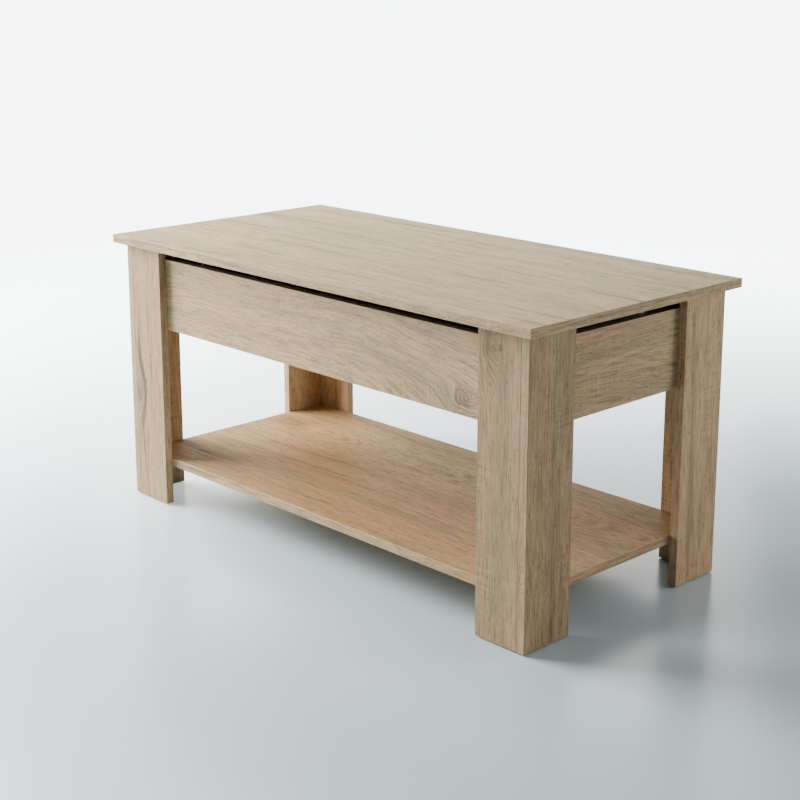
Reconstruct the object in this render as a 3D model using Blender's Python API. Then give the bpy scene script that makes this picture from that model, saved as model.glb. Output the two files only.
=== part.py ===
"""Lift top coffee table.

Four L-shaped legs hold a storage compartment and an open lower shelf. The top swings up and
forward on two spring-assisted parallelogram linkages, one inside each end of the compartment.

Units are metres. +Z is up, -Y is the front, where the user sits, and the origin is on the floor
under the middle of the closed table.
"""

import math

import bmesh
import bpy
from mathutils import Matrix, Vector

# The whole table
LENGTH = 1.020
DEPTH = 0.500
HEIGHT = 0.496

# Boards
BOARD = 0.015
OVERHANG = 0.018
LEG_END_WIDTH = 0.100
LEG_FACE_WIDTH = 0.083
APRON_BOTTOM = 0.331
APRON_TOP = 0.461
SHELF_TOP = 0.087
EDGE_BEVEL = 0.0005
BAND = 0.0008

# Clearances
GAP = 0.0003
OVERSHOOT = 0.001
WELD = 0.000001

# Feet and bumpers
GLIDE_THICKNESS = 0.0015
GLIDE_RADIUS = 0.0065
NAIL_RADIUS = 0.0010
NAIL_LENGTH = 0.009
BUMPER_THICKNESS = 0.0010
BUMPER_RADIUS = 0.0050

# Lift linkage: pivots are (y, z), and angles are measured up from the rear (+Y)
ARM_LENGTH = 0.165
ARM_WIDTH = 0.022
ARM_THICKNESS = 0.003
REST_ANGLE = math.radians(12)
SWING = math.radians(107)
FRONT_PIVOT = Vector((-0.100, 0.4273))
REAR_PIVOT = Vector((0.020, 0.4073))
SHEET = 0.002
ARM_TO_BASE = 0.0012
ARM_TO_RAIL = 0.0020
PIN_RADIUS = 0.0040
PIN_HEAD_RADIUS = 0.0065
PIN_HEAD = 0.0012
STOP_RADIUS = 0.0030
STOP_ALONG_ARM = 0.030

# Top rail: a steel angle under the top
RAIL_FRONT = -0.150
RAIL_REAR = 0.195
RAIL_WIDTH = 0.0235
RAIL_EDGE = 0.4476
RAIL_EAR_FRONT = 0.155
RAIL_EAR_SLOPE = 0.015
RAIL_EAR_DROP = 0.012
SHEET_CORNER = 0.004

# Screws
SCREW_RADIUS = 0.0020
SCREW_HEAD_RADIUS = 0.0040
SCREW_HEAD = 0.0022
SCREW_DEPTH = 0.0105
BASE_SCREW_Y = (-0.135, 0.035)
BASE_SCREW_Z = 0.380
RAIL_SCREW_Y = (-0.125, 0.170)
RAIL_SCREW_INSET = 0.011

# Extension spring and what holds it
WIRE_RADIUS = 0.0009
COIL_RADIUS = 0.0052
COILS = 20
POINTS_PER_COIL = 8
SPRING_FROM_RAIL = 0.0070
GROOVE_RADIUS = 0.0022
GROOVE_WIDTH = 0.0046
NECK_RADIUS = 0.0035
STUD_RADIUS = 0.0025
STUD_COLLAR_RADIUS = 0.0045
LUG_RADIUS = 0.0070
HOOK_TO_COIL = 0.0075
HOOK_END = math.radians(300)

# How finely round shapes are cut
ROUND = 20
SMALL_ROUND = 14
ARC_STEPS = 8
CORNER_STEPS = 3
SHARP = math.radians(35)

# Planes worked out from the sizes above
LEG_X = LENGTH / 2 - OVERHANG
LEG_Y = DEPTH / 2 - OVERHANG
BOX_X = LEG_X - BOARD
BOX_Y = LEG_Y - BOARD
INSIDE_X = BOX_X - BOARD
INSIDE_Y = BOX_Y - BOARD
TOP_UNDERSIDE = HEIGHT - BOARD
LEG_BOTTOM = GLIDE_THICKNESS + GAP
LEG_TOP = TOP_UNDERSIDE - BUMPER_THICKNESS - 2 * GAP

# Planes of the linkage, as distances from the table's middle
BASE_OUTER = INSIDE_X - GAP
BASE_INNER = BASE_OUTER - SHEET
ARM_OUTER = BASE_INNER - ARM_TO_BASE
ARM_INNER = ARM_OUTER - ARM_THICKNESS
RAIL_OUTER = ARM_INNER - ARM_TO_RAIL
RAIL_INNER = RAIL_OUTER - SHEET
SPRING_X = RAIL_INNER - SPRING_FROM_RAIL
ARM_X = (ARM_OUTER + ARM_INNER) / 2
BASE_X = (BASE_OUTER + BASE_INNER) / 2
RAIL_X = (RAIL_OUTER + RAIL_INNER) / 2
RAIL_TOP = TOP_UNDERSIDE - GAP


def along(angle, distance):
    """The (y, z) offset of a point this far from a pivot."""
    return Vector((math.cos(angle), math.sin(angle))) * distance


FRONT_TOP_PIVOT = FRONT_PIVOT + along(REST_ANGLE, ARM_LENGTH)
REAR_TOP_PIVOT = REAR_PIVOT + along(REST_ANGLE, ARM_LENGTH)

# The stud's angle is symmetric about upright over the swing, and level with the front pivot
# at both ends of it, so the spring lies level at both.
STUD_REST_ANGLE = math.radians(90) - SWING / 2
STUD_REACH = (FRONT_PIVOT.y - REAR_PIVOT.y) / math.sin(STUD_REST_ANGLE)
STUD_OFFSET = STUD_REST_ANGLE - REST_ANGLE
STUD_POINT = REAR_PIVOT + along(STUD_REST_ANGLE, STUD_REACH)

# The stop touches the front arm's forward edge when the top is fully raised.
RAISED_ANGLE = REST_ANGLE + SWING
STOP_POINT = (
    FRONT_PIVOT
    + along(RAISED_ANGLE, STOP_ALONG_ARM)
    + along(RAISED_ANGLE + math.radians(90), ARM_WIDTH / 2 + GAP + STOP_RADIUS)
)


def material(name, colour, roughness, metallic=0.0):
    made = bpy.data.materials.new(name)
    made.use_nodes = True
    shader = made.node_tree.nodes["Principled BSDF"]
    shader.inputs["Base Color"].default_value = (*colour, 1.0)
    shader.inputs["Roughness"].default_value = roughness
    shader.inputs["Metallic"].default_value = metallic
    return made


def add(name, bm, surface, location, parent=None, smooth=False):
    """A new object from a bmesh, placed in its parent's space."""
    bmesh.ops.recalc_face_normals(bm, faces=bm.faces)
    mesh = bpy.data.meshes.new(name)
    bm.to_mesh(mesh)
    bm.free()
    mesh.materials.append(surface)
    if smooth:
        mesh.shade_smooth()
        mesh.set_sharp_from_angle(angle=SHARP)
    obj = bpy.data.objects.new(name, mesh)
    obj.location = location
    obj.parent = parent
    bpy.context.scene.collection.objects.link(obj)
    return obj


def combine(obj, other, operation):
    """A Boolean between an object and a helper in its own space, which is then hidden."""
    other.parent = obj
    other.hide_render = True
    other.display_type = "WIRE"
    modifier = obj.modifiers.new(other.name, "BOOLEAN")
    modifier.operation = operation
    modifier.solver = "EXACT"
    modifier.object = other


def block(size):
    bm = bmesh.new()
    bmesh.ops.create_cube(bm, size=1.0)
    bmesh.ops.scale(bm, vec=size, verts=bm.verts)
    return bm


def prism(outline, thickness):
    """A (y, z) outline extruded along X, with its middle at x = 0."""
    bm = bmesh.new()
    face = bm.faces.new([bm.verts.new((-thickness / 2, y, z)) for y, z in outline])
    made = bmesh.ops.extrude_face_region(bm, geom=[face])["geom"]
    moved = [item for item in made if isinstance(item, bmesh.types.BMVert)]
    bmesh.ops.translate(bm, vec=(thickness, 0, 0), verts=moved)
    return bm


def turned(profile, steps=ROUND):
    """An (x, radius) outline spun about the X axis into a closed solid."""
    bm = bmesh.new()
    points = [(profile[0][0], 0.0), *profile, (profile[-1][0], 0.0)]
    verts = [bm.verts.new((x, 0.0, radius)) for x, radius in points]
    edges = [bm.edges.new(pair) for pair in zip(verts, verts[1:])]
    bmesh.ops.spin(
        bm,
        geom=verts + edges,
        cent=(0, 0, 0),
        axis=(1, 0, 0),
        angle=math.tau,
        steps=steps,
        use_merge=True,
    )
    bmesh.ops.remove_doubles(bm, verts=bm.verts, dist=WELD)
    return bm


def drill(obj, holes):
    """Cuts holes in an object, each one a (start, run, radius) in the object's own space."""
    bm = bmesh.new()
    for start, run, radius in holes:
        run = Vector(run)
        turn = run.to_track_quat("Z", "Y").to_matrix().to_4x4()
        bmesh.ops.create_cone(
            bm,
            cap_ends=True,
            segments=SMALL_ROUND,
            radius1=radius,
            radius2=radius,
            depth=run.length,
            matrix=Matrix.Translation(Vector(start) + run / 2) @ turn,
        )
    cutter = add(obj.name + "_holes", bm, obj.data.materials[0], (0, 0, 0))
    combine(obj, cutter, "DIFFERENCE")


def rounded(corners, radius, sharp=()):
    """The outline through these (y, z) corners, each turned into an arc unless listed as sharp."""
    outline = []
    for i, corner in enumerate(corners):
        here = Vector(corner)
        if i in sharp:
            outline.append(here)
            continue
        before = (Vector(corners[i - 1]) - here).normalized()
        after = (Vector(corners[(i + 1) % len(corners)]) - here).normalized()
        half = before.angle(after) / 2
        centre = here + (before + after).normalized() * radius / math.sin(half)
        start = here + before * radius / math.tan(half) - centre
        end = here + after * radius / math.tan(half) - centre
        first = math.atan2(start.y, start.x)
        sweep = math.remainder(math.atan2(end.y, end.x) - first, math.tau)
        for step in range(CORNER_STEPS + 1):
            outline.append(centre + along(first + sweep * step / CORNER_STEPS, radius))
    return outline


def link(length, radius, angle=0.0):
    """A bar's outline with round ends, from a pivot at (0, 0), laid at this angle."""
    outline = []
    for end, first in ((length, -90), (0.0, 90)):
        for step in range(ARC_STEPS + 1):
            turn = math.radians(first + 180 * step / ARC_STEPS)
            outline.append(along(angle, end) + along(angle + turn, radius))
    return outline


def board(name, low, high, surface, parent=None, offset=(0, 0, 0), bevel=EDGE_BEVEL):
    """A rectangular board between two corners, with its origin at its middle."""
    low = Vector(low)
    high = Vector(high)
    obj = add(name, block(high - low), surface, (low + high) / 2 - Vector(offset), parent)
    if bevel:
        modifier = obj.modifiers.new("Bevel", "BEVEL")
        modifier.width = bevel
        modifier.segments = 1
    return obj


def make_legs(oak, nylon, rubber):
    """Four legs, each of an end board and a face board that butts against it."""
    face_outer = BOX_X - GAP
    face_inner = face_outer - LEG_FACE_WIDTH
    half_height = (LEG_TOP - LEG_BOTTOM) / 2
    nail_hole = ((0, 0, -half_height - OVERSHOOT), (0, 0, NAIL_LENGTH + 2 * OVERSHOOT))
    for depth, front in ((-1, "front"), (1, "rear")):
        for side, hand in ((-1, "left"), (1, "right")):
            corner = f"{front}_{hand}"
            end_x = sorted((side * BOX_X, side * LEG_X))
            end_y = sorted((depth * LEG_Y, depth * (LEG_Y - LEG_END_WIDTH)))
            face_x = sorted((side * face_inner, side * face_outer))
            face_y = sorted((depth * BOX_Y, depth * LEG_Y))
            for kind, x, y in (("end", end_x, end_y), ("face", face_x, face_y)):
                leg = board(
                    f"{corner}_leg_{kind}_board",
                    (x[0], y[0], LEG_BOTTOM),
                    (x[1], y[1], LEG_TOP),
                    oak,
                )
                drill(leg, [(*nail_hole, NAIL_RADIUS + GAP)])
                make_glide(f"{corner}_{kind}_glide", leg.location.xy, nylon)
            make_bumper(f"{corner}_bumper", (sum(face_x) / 2, sum(face_y) / 2), rubber)


def make_glide(name, middle, nylon):
    """A nail-on glide under a leg board."""
    chamfer = GLIDE_THICKNESS / 3
    profile = (
        (0.0, GLIDE_RADIUS - chamfer),
        (chamfer, GLIDE_RADIUS),
        (GLIDE_THICKNESS, GLIDE_RADIUS),
        (GLIDE_THICKNESS, NAIL_RADIUS),
        (GLIDE_THICKNESS + NAIL_LENGTH - NAIL_RADIUS, NAIL_RADIUS),
        (GLIDE_THICKNESS + NAIL_LENGTH, NAIL_RADIUS / 4),
    )
    glide = add(name, turned(profile, SMALL_ROUND), nylon, (*middle, 0.0), smooth=True)
    glide.rotation_euler.y = math.radians(-90)


def make_bumper(name, middle, rubber):
    """A pad on a leg's end grain, which the closed top rests on."""
    chamfer = BUMPER_THICKNESS / 3
    profile = (
        (0.0, BUMPER_RADIUS),
        (BUMPER_THICKNESS - chamfer, BUMPER_RADIUS),
        (BUMPER_THICKNESS, BUMPER_RADIUS - chamfer),
    )
    location = (*middle, LEG_TOP + GAP)
    bumper = add(name, turned(profile, SMALL_ROUND), rubber, location, smooth=True)
    bumper.rotation_euler.y = math.radians(-90)


def make_box(oak):
    """The compartment's four aprons and floor, and the lower shelf."""
    outer_x = BOX_X - GAP
    outer_y = BOX_Y - GAP
    inner_x = INSIDE_X - GAP
    inner_y = INSIDE_Y - GAP
    for depth, name in ((-1, "front_apron"), (1, "rear_apron")):
        y = sorted((depth * INSIDE_Y, depth * outer_y))
        board(name, (-outer_x, y[0], APRON_BOTTOM), (outer_x, y[1], APRON_TOP), oak)
    for side, name in ((-1, "left_apron"), (1, "right_apron")):
        x = sorted((side * INSIDE_X, side * outer_x))
        apron = board(name, (x[0], -inner_y, APRON_BOTTOM), (x[1], inner_y, APRON_TOP), oak)
        middle = (APRON_BOTTOM + APRON_TOP) / 2
        inner_face = side * (INSIDE_X - OVERSHOOT) - apron.location.x
        run = (side * (SCREW_DEPTH + OVERSHOOT), 0, 0)
        drill(
            apron,
            [
                ((inner_face, y, BASE_SCREW_Z - middle), run, SCREW_RADIUS + GAP)
                for y in BASE_SCREW_Y
            ],
        )
    board(
        "compartment_floor",
        (-inner_x, -inner_y, APRON_BOTTOM),
        (inner_x, inner_y, APRON_BOTTOM + BOARD),
        oak,
    )
    board(
        "lower_shelf",
        (-outer_x, -outer_y, SHELF_TOP - BOARD),
        (outer_x, outer_y, SHELF_TOP),
        oak,
    )


def make_top(oak, pivot):
    """The top panel and the band around its edge, carried by the rear arms' upper pivots."""
    half = Vector((LENGTH, DEPTH, 0)) / 2
    core = half - Vector((BAND + GAP, BAND + GAP, 0))
    low = Vector((0, 0, TOP_UNDERSIDE))
    high = Vector((0, 0, HEIGHT))
    panel = board("top_panel", low - core, high + core, oak, pivot, pivot.location, bevel=0)
    drill(
        panel,
        [
            (
                (side * (RAIL_OUTER - RAIL_SCREW_INSET), y, -BOARD / 2 - OVERSHOOT),
                (0, 0, SCREW_DEPTH + OVERSHOOT),
                SCREW_RADIUS + GAP,
            )
            for side in (-1, 1)
            for y in RAIL_SCREW_Y
        ],
    )
    band = board("top_edge_band", low - half, high + half, oak, pivot, pivot.location)
    inside = half - Vector((BAND, BAND, 0))
    cutter = block(2 * inside + Vector((0, 0, BOARD + 2 * OVERSHOOT)))
    combine(band, add("top_edge_band_inside", cutter, oak, (0, 0, 0)), "DIFFERENCE")


def make_pin(name, profile, steel, location, side, parent=None):
    """A turned pin. Its profile runs from x = 0 towards the table's middle."""
    pin = add(name, turned(profile), steel, location, parent, smooth=True)
    if side > 0:
        pin.rotation_euler.z = math.radians(180)


def spring_tip(start):
    """The end of a pin that holds a spring: a neck, a groove for the hook, and a flange."""
    groove = ARM_OUTER - SPRING_X - GROOVE_WIDTH / 2
    return (
        (start, NECK_RADIUS),
        (groove, NECK_RADIUS),
        (groove, GROOVE_RADIUS),
        (groove + GROOVE_WIDTH, GROOVE_RADIUS),
        (groove + GROOVE_WIDTH, NECK_RADIUS),
        (groove + GROOVE_WIDTH + PIN_HEAD, NECK_RADIUS),
    )


def make_lower_pins(hand, side, steel):
    """The pins that the arms turn on. They are riveted in the base plate."""
    tail = BASE_OUTER - GAP - ARM_OUTER
    head = ARM_THICKNESS + GAP
    shaft = ((-tail, PIN_RADIUS), (head, PIN_RADIUS), (head, PIN_HEAD_RADIUS))
    shaft += ((head + PIN_HEAD, PIN_HEAD_RADIUS),)
    front = (*shaft, *spring_tip(head + PIN_HEAD))
    for name, profile, pivot in (("front", front, FRONT_PIVOT), ("rear", shaft, REAR_PIVOT)):
        make_pin(f"{hand}_{name}_lower_pin", profile, steel, (side * ARM_OUTER, *pivot), side)


def make_upper_pins(hand, side, steel, parent):
    """The pins that join the arms to the top rail. They are headed at both ends."""
    outer = -GAP
    inner = ARM_OUTER - RAIL_INNER + GAP
    profile = (
        (outer - PIN_HEAD, PIN_HEAD_RADIUS),
        (outer, PIN_HEAD_RADIUS),
        (outer, PIN_RADIUS),
        (inner, PIN_RADIUS),
        (inner, PIN_HEAD_RADIUS),
        (inner + PIN_HEAD, PIN_HEAD_RADIUS),
    )
    for name, pivot in (("front", FRONT_TOP_PIVOT), ("rear", REAR_TOP_PIVOT)):
        location = Vector((side * ARM_OUTER, *pivot)) - parent.location
        make_pin(f"{hand}_{name}_upper_pin", profile, steel, location, side, parent)


def make_arm(hand, side, name, pivot, steel):
    """A flat arm with its origin on its lower pivot."""
    location = (side * ARM_X, *pivot)
    outline = link(ARM_LENGTH, ARM_WIDTH / 2)
    arm = add(f"{hand}_{name}_arm", prism(outline, ARM_THICKNESS), steel, location)
    arm.rotation_euler.x = REST_ANGLE
    holes = [(0.0, 0.0, PIN_RADIUS), (ARM_LENGTH, 0.0, PIN_RADIUS)]
    if name == "rear":
        lug = prism(link(STUD_REACH, LUG_RADIUS, STUD_OFFSET), ARM_THICKNESS)
        combine(arm, add(f"{arm.name}_lug", lug, steel, (0, 0, 0)), "UNION")
        holes.append((*along(STUD_OFFSET, STUD_REACH), STUD_RADIUS))
    drill_sheet(arm, ARM_THICKNESS, holes)
    return arm


def drill_sheet(obj, thickness, holes):
    """Cuts (y, z, radius) holes through a plate whose middle is at x = 0, with a gap."""
    start = -thickness / 2 - OVERSHOOT
    run = (thickness + 2 * OVERSHOOT, 0, 0)
    drill(obj, [((start, y, z), run, radius + GAP) for y, z, radius in holes])


def make_stud(hand, side, arm, steel):
    """The stud on the rear arm's lug that the spring pulls on."""
    shoulder = ARM_THICKNESS + GAP
    profile = (
        (GAP, STUD_RADIUS),
        (shoulder, STUD_RADIUS),
        (shoulder, STUD_COLLAR_RADIUS),
        (shoulder + PIN_HEAD, STUD_COLLAR_RADIUS),
        *spring_tip(shoulder + PIN_HEAD),
    )
    point = along(STUD_OFFSET, STUD_REACH)
    location = (side * ARM_THICKNESS / 2, *point)
    make_pin(f"{hand}_spring_stud", profile, steel, location, side, arm)


def make_base_plate(hand, side, steel):
    """The plate screwed inside the end apron, which carries the lower pivots and the stop."""
    corners = (
        (-0.152, 0.366),
        (0.052, 0.366),
        (0.052, 0.420),
        (-0.070, 0.4445),
        (-0.108, 0.4555),
        (-0.140, 0.4555),
        (-0.152, 0.440),
    )
    middle = Vector((0.0, BASE_SCREW_Z))
    outline = [point - middle for point in rounded(corners, SHEET_CORNER)]
    location = (side * BASE_X, *middle)
    plate = add(f"{hand}_base_plate", prism(outline, SHEET), steel, location)
    holes = [(*(pivot - middle), PIN_RADIUS) for pivot in (FRONT_PIVOT, REAR_PIVOT)]
    holes.append((*(STOP_POINT - middle), STOP_RADIUS))
    holes += [(y, 0.0, SCREW_RADIUS) for y in BASE_SCREW_Y]
    drill_sheet(plate, SHEET, holes)


def make_stop(hand, side, steel):
    """The pin that the front arm rests against when the top is raised."""
    chamfer = STOP_RADIUS / 6
    tail = BASE_OUTER - GAP - ARM_OUTER
    profile = (
        (-tail, STOP_RADIUS),
        (ARM_THICKNESS - chamfer, STOP_RADIUS),
        (ARM_THICKNESS, STOP_RADIUS - chamfer),
    )
    make_pin(f"{hand}_stop_pin", profile, steel, (side * ARM_OUTER, *STOP_POINT), side)


def make_top_rail(hand, side, steel, parent):
    """The steel angle under the top: a flange with an ear for the pivots, and one for screws."""
    ear_bottom = REAR_TOP_PIVOT.y - RAIL_EAR_DROP
    corners = (
        (RAIL_FRONT, RAIL_EDGE),
        (RAIL_EAR_FRONT - RAIL_EAR_SLOPE, RAIL_EDGE),
        (RAIL_EAR_FRONT, ear_bottom),
        (RAIL_REAR, ear_bottom),
        (RAIL_REAR, RAIL_TOP),
        (RAIL_FRONT, RAIL_TOP),
    )
    middle = Vector(((RAIL_FRONT + RAIL_REAR) / 2, RAIL_TOP))
    outline = [point - middle for point in rounded(corners, SHEET_CORNER, sharp=(4, 5))]
    location = Vector((side * RAIL_X, *middle)) - parent.location
    rail = add(f"{hand}_top_rail", prism(outline, SHEET), steel, location, parent)
    flange = block((RAIL_WIDTH, RAIL_REAR - RAIL_FRONT, SHEET))
    flange_x = side * (SHEET - RAIL_WIDTH) / 2
    flange = add(f"{hand}_top_rail_flange", flange, steel, (flange_x, 0, -SHEET / 2))
    combine(rail, flange, "UNION")
    pivots = [pivot - middle for pivot in (FRONT_TOP_PIVOT, REAR_TOP_PIVOT)]
    start = SHEET / 2 + OVERSHOOT
    holes = [((-start, *p), (2 * start, 0, 0), PIN_RADIUS + GAP) for p in pivots]
    screw_x = side * (SHEET / 2 - RAIL_SCREW_INSET)
    for y in RAIL_SCREW_Y:
        bottom = (screw_x, y - middle.x, -SHEET - OVERSHOOT)
        holes.append((bottom, (0, 0, 2 * start), SCREW_RADIUS + GAP))
    drill(rail, holes)


def make_screw(name, steel, location, rotation, parent=None):
    """A pan-head screw. Its shank points along its own +X from under the head at x = 0."""
    dome = SCREW_HEAD / 3
    point = SCREW_RADIUS * 1.5
    reach = SCREW_DEPTH - GAP
    profile = (
        (-SCREW_HEAD, SCREW_HEAD_RADIUS - dome),
        (dome - SCREW_HEAD, SCREW_HEAD_RADIUS),
        (0.0, SCREW_HEAD_RADIUS),
        (0.0, SCREW_RADIUS),
        (reach - point, SCREW_RADIUS),
        (reach, SCREW_RADIUS / 4),
    )
    screw = add(name, turned(profile, SMALL_ROUND), steel, location, parent, smooth=True)
    screw.rotation_euler = rotation


def make_screws(hand, side, steel, parent):
    """The screws through the base plate and through the top rail."""
    facing = (0, 0, 0 if side > 0 else math.radians(180))
    up = (0, math.radians(-90), 0)
    for place, base_y, rail_y in zip(("front", "rear"), BASE_SCREW_Y, RAIL_SCREW_Y):
        location = (side * (BASE_INNER - GAP), base_y, BASE_SCREW_Z)
        make_screw(f"{hand}_base_screw_{place}", steel, location, facing)
        rail_x = side * (RAIL_OUTER - RAIL_SCREW_INSET)
        location = Vector((rail_x, rail_y, RAIL_TOP - SHEET - GAP)) - parent.location
        make_screw(f"{hand}_rail_screw_{place}", steel, location, up, parent)


def spring_path():
    """The wire's middle line: a hook, the coils and a hook, along Y about (0, 0, 0).

    Each hook bears on the far side of its pin's groove.
    """
    bearing = GROOVE_RADIUS + GAP + WIRE_RADIUS
    first = FRONT_PIVOT.x + COIL_RADIUS - bearing
    last = STUD_POINT.x - COIL_RADIUS + bearing
    start = first + HOOK_TO_COIL
    end = last - HOOK_TO_COIL
    hook = [HOOK_END + (math.radians(90) - HOOK_END) * i / ARC_STEPS for i in range(ARC_STEPS + 1)]
    points = [
        Vector((0, first + COIL_RADIUS * math.cos(a), COIL_RADIUS * math.sin(a))) for a in hook
    ]
    count = COILS * POINTS_PER_COIL
    for i in range(count + 1):
        turn = math.tau * i / POINTS_PER_COIL
        y = start + (end - start) * i / count
        points.append(Vector((COIL_RADIUS * math.sin(turn), y, COIL_RADIUS * math.cos(turn))))
    points += [
        Vector((0, last - COIL_RADIUS * math.cos(a), COIL_RADIUS * math.sin(a)))
        for a in reversed(hook)
    ]
    return points


def make_spring(hand, side, steel):
    """An extension spring, stretched while the table is closed."""
    curve = bpy.data.curves.new(f"{hand}_spring", "CURVE")
    curve.dimensions = "3D"
    curve.bevel_depth = WIRE_RADIUS
    curve.bevel_resolution = 0
    curve.use_fill_caps = True
    curve.materials.append(steel)
    points = spring_path()
    spline = curve.splines.new("POLY")
    spline.points.add(len(points) - 1)
    for point, place in zip(spline.points, points):
        point.co = (*place, 1.0)
    spring = bpy.data.objects.new(f"{hand}_spring", curve)
    spring.location = (side * SPRING_X, 0, FRONT_PIVOT.y)
    bpy.context.scene.collection.objects.link(spring)


def make_lift(hand, side, steels, pivot):
    """One end's linkage. The pieces that lift with the top hang from the pivot empty."""
    black, zinc, spring_steel = steels
    make_base_plate(hand, side, black)
    make_lower_pins(hand, side, zinc)
    make_stop(hand, side, zinc)
    make_arm(hand, side, "front", FRONT_PIVOT, black)
    rear_arm = make_arm(hand, side, "rear", REAR_PIVOT, black)
    make_stud(hand, side, rear_arm, zinc)
    make_spring(hand, side, spring_steel)
    make_top_rail(hand, side, black, pivot)
    make_upper_pins(hand, side, zinc, pivot)
    make_screws(hand, side, zinc, pivot)


def main():
    for obj in list(bpy.data.objects):
        bpy.data.objects.remove(obj, do_unlink=True)
    oak = material("oak_decor_board", (0.50, 0.41, 0.33), 0.45)
    nylon = material("nylon_glide", (0.12, 0.10, 0.09), 0.5)
    rubber = material("rubber_pad", (0.25, 0.24, 0.23), 0.8)
    black = material("black_coated_steel", (0.03, 0.03, 0.032), 0.4, 0.8)
    zinc = material("zinc_plated_steel", (0.60, 0.61, 0.63), 0.3, 1.0)
    spring_steel = material("spring_steel", (0.45, 0.46, 0.48), 0.28, 1.0)
    pivot = bpy.data.objects.new("top_pivot", None)
    pivot.location = (0, *REAR_TOP_PIVOT)
    bpy.context.scene.collection.objects.link(pivot)
    make_legs(oak, nylon, rubber)
    make_box(oak)
    make_top(oak, pivot)
    for side, hand in ((-1, "left"), (1, "right")):
        make_lift(hand, side, (black, zinc, spring_steel), pivot)


main()
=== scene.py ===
"""The looks of the lift top coffee table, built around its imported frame."""

import math

import bmesh
import bpy
from mathutils import Matrix, Vector, geometry


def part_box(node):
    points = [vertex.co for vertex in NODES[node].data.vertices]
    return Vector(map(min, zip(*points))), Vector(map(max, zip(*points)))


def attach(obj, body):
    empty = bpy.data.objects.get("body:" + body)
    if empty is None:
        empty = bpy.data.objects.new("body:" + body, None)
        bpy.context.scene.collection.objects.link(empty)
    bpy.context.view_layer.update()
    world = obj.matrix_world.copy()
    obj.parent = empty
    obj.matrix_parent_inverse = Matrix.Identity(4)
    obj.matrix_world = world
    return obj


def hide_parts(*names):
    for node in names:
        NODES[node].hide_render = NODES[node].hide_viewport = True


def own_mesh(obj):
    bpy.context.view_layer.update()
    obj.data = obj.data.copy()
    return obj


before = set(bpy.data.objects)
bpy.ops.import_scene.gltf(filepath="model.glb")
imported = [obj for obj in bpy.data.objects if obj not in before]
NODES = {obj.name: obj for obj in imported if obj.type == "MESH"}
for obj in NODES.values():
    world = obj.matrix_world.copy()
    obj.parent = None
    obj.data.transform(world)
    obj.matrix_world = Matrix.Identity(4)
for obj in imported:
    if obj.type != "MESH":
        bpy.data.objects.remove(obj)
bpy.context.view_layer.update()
SIDES = ((-1, "left"), (1, "right"))
CORNERS = tuple((d, s, f"{f}_{h}") for d, f in ((-1, "front"), (1, "rear")) for s, h in SIDES)


# ---------------------------------------------------------------- node trees


def node(tree, kind, inputs=None, **settings):
    """A new node, its settings, and its inputs as values or as the sockets that feed them."""
    made = tree.nodes.new(kind)
    for key, value in settings.items():
        setattr(made, key, value)
    for key, value in (inputs or {}).items():
        if isinstance(value, bpy.types.NodeSocket):
            tree.links.new(value, made.inputs[key])
        else:
            made.inputs[key].default_value = value
    return made


def calc(tree, operation, *values):
    """A Math node's result."""
    return node(tree, "ShaderNodeMath", dict(enumerate(values)), operation=operation).outputs[0]


def vector_calc(tree, operation, *values):
    """A Vector Math node's result, as a vector."""
    return node(tree, "ShaderNodeVectorMath", dict(enumerate(values)), operation=operation).outputs[0]


def vector(tree, x, y, z):
    return node(tree, "ShaderNodeCombineXYZ", {0: x, 1: y, 2: z}).outputs[0]


def noise(tree, place, scale=1.0, detail=2.0, rough=0.5):
    """Noise from about 0.2 to 0.8, read at a vector."""
    inputs = {"Vector": place, "Scale": scale, "Detail": detail, "Roughness": rough}
    return node(tree, "ShaderNodeTexNoise", inputs).outputs["Fac"]


def remap(tree, value, low, high, start=0.0, end=1.0, smooth=True):
    """A value taken from low..high to start..end, held at both ends."""
    kind = "SMOOTHSTEP" if smooth else "LINEAR"
    inputs = {"Value": value, "From Min": low, "From Max": high, "To Min": start, "To Max": end}
    made = node(tree, "ShaderNodeMapRange", inputs, interpolation_type=kind)
    return made.outputs["Result"]


def mixed(tree, share, one, two, blend="MIX"):
    """Two colours mixed."""
    made = node(tree, "ShaderNodeMix", data_type="RGBA", blend_type=blend)
    for socket, value in ((made.inputs[0], share), (made.inputs[6], one), (made.inputs[7], two)):
        if isinstance(value, bpy.types.NodeSocket):
            tree.links.new(value, socket)
        elif isinstance(value, (int, float)):
            socket.default_value = value
        else:
            socket.default_value = (*value, 1.0)
    return made.outputs[2]


def srgb(red, green, blue):
    """A colour of 0..255 as the linear values that shaders take."""
    return tuple(((c / 255 + 0.055) / 1.055) ** 2.4 for c in (red, green, blue))


def new_material(name, **settings):
    """A material and its tree, with constant values set on the shader's own sockets."""
    made = bpy.data.materials.new(name)
    made.use_nodes = True
    shader = made.node_tree.nodes["Principled BSDF"]
    for key, value in settings.items():
        shader.inputs[key.replace("_", " ")].default_value = value
    return made, made.node_tree, shader


def connect(tree, shader, colour=None, rough=None, height=None, depth=0.0001, strength=1.0):
    if colour is not None:
        tree.links.new(colour, shader.inputs["Base Color"])
    if rough is not None:
        tree.links.new(rough, shader.inputs["Roughness"])
    if height is not None:
        inputs = {"Height": height, "Distance": depth, "Strength": strength}
        bump = node(tree, "ShaderNodeBump", inputs)
        tree.links.new(bump.outputs["Normal"], shader.inputs["Normal"])


# ---------------------------------------------------------------- oak decor

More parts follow.
